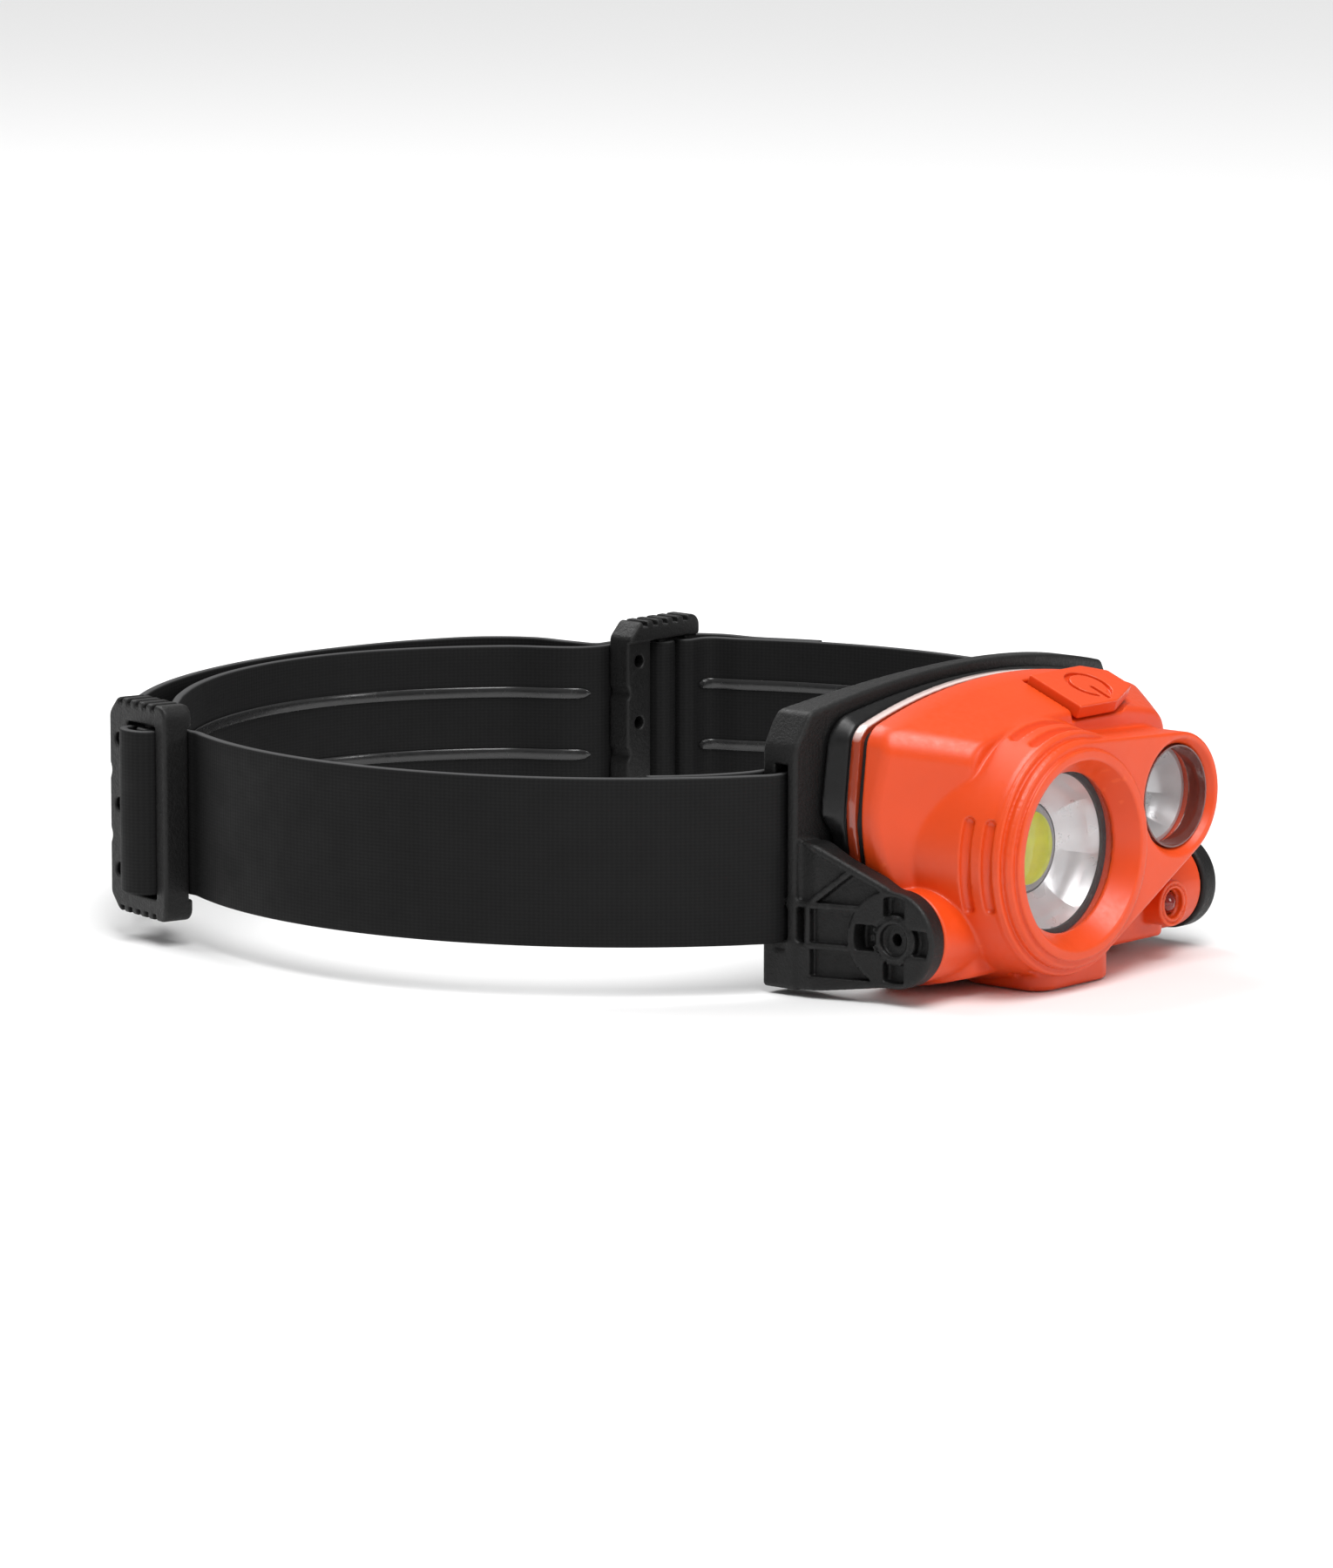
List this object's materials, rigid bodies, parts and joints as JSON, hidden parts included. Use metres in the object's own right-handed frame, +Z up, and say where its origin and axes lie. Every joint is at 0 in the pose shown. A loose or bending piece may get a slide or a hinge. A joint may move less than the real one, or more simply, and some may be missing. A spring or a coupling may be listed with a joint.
{
  "type": "headlamp",
  "caption": "Head-worn lamp with a tilting two-beam lamp casing on a curved bracket, and an adjustable elastic head strap.",
  "frame": {"origin": "centre of the head loop at the straps' mid-height", "axes": "+Z up, the lamp shines along -Y, the wearer's right side is -X"},
  "size_m": [0.1748, 0.2042, 0.0545],
  "materials": {
    "orange_shell": "fine satin moulded plastic",
    "clear_plastic": "clear polished polycarbonate",
    "black_cover": "smooth satin black plastic",
    "black_grained": "fine grained black plastic",
    "strap_fabric": "smooth close-woven black elastic",
    "silicone": "glossy black silicone",
    "foam": "soft black foam-backed fabric",
    "seal_rubber": "matt black rubber",
    "steel": "zinc-plated steel",
    "reflector_white": "bright white satin bowl",
    "reflector_mirror": "metallised bowl",
    "emitter_yellow": "yellow-green phosphor",
    "board_green": "solder-masked board",
    "aluminium": "bare aluminium",
    "battery_wrap": "plain heat-shrink wrap",
    "red_lens": "red tinted plastic"
  },
  "bodies": {
    "headband": {"bracket": "black_grained", "forehead_pad": "foam", "long_strap": "strap_fabric", "short_strap": "strap_fabric", "grip_lines_right": "silicone", "grip_lines_left": "silicone", "grip_lines_back": "silicone", "strap_slider": "black_grained", "strap_ring": "black_grained"},
    "lamp": {"front_shell": "orange_shell", "light_ring": "clear_plastic", "front_seal": "seal_rubber", "rear_seal": "seal_rubber", "rear_cover": "black_cover", "case_screws": "steel", "friction_rings": "seal_rubber", "main_lens": "clear_plastic", "lens_seal": "seal_rubber", "main_reflector": "reflector_white", "main_led": "emitter_yellow", "main_led_board": "aluminium", "heat_sink": "aluminium", "spot_lens": "clear_plastic", "spot_reflector": "reflector_mirror", "spot_led": "emitter_yellow", "spot_led_board": "aluminium", "indicator_lens": "red_lens", "control_board": "board_green", "board_parts": "seal_rubber", "battery": "battery_wrap", "charge_socket": "steel", "switch_board": "board_green", "tactile_switch": "steel", "button_seal": "silicone"},
    "button": {"power_button": "orange_shell"},
    "port_flap": {"port_flap": "seal_rubber"}
  },
  "joints": [
    {"name": "lamp_tilt", "type": "hinge", "parent": "headband", "child": "lamp", "pos_m": [0, -0.0927, -0.0127], "axis": [1, 0, 0], "range_deg": [0, 70]},
    {"name": "button_press", "type": "slide", "parent": "lamp", "child": "button", "axis": [0, 0.3746, -0.9272], "range_m": [0, 0.0006], "stiffness_N_per_m": 400},
    {"name": "port_flap_open", "type": "hinge", "parent": "lamp", "child": "port_flap", "pos_m": [-0.0056, -0.0883, -0.0236], "axis": [1, 0, 0], "range_deg": [0, 95]}
  ]
}
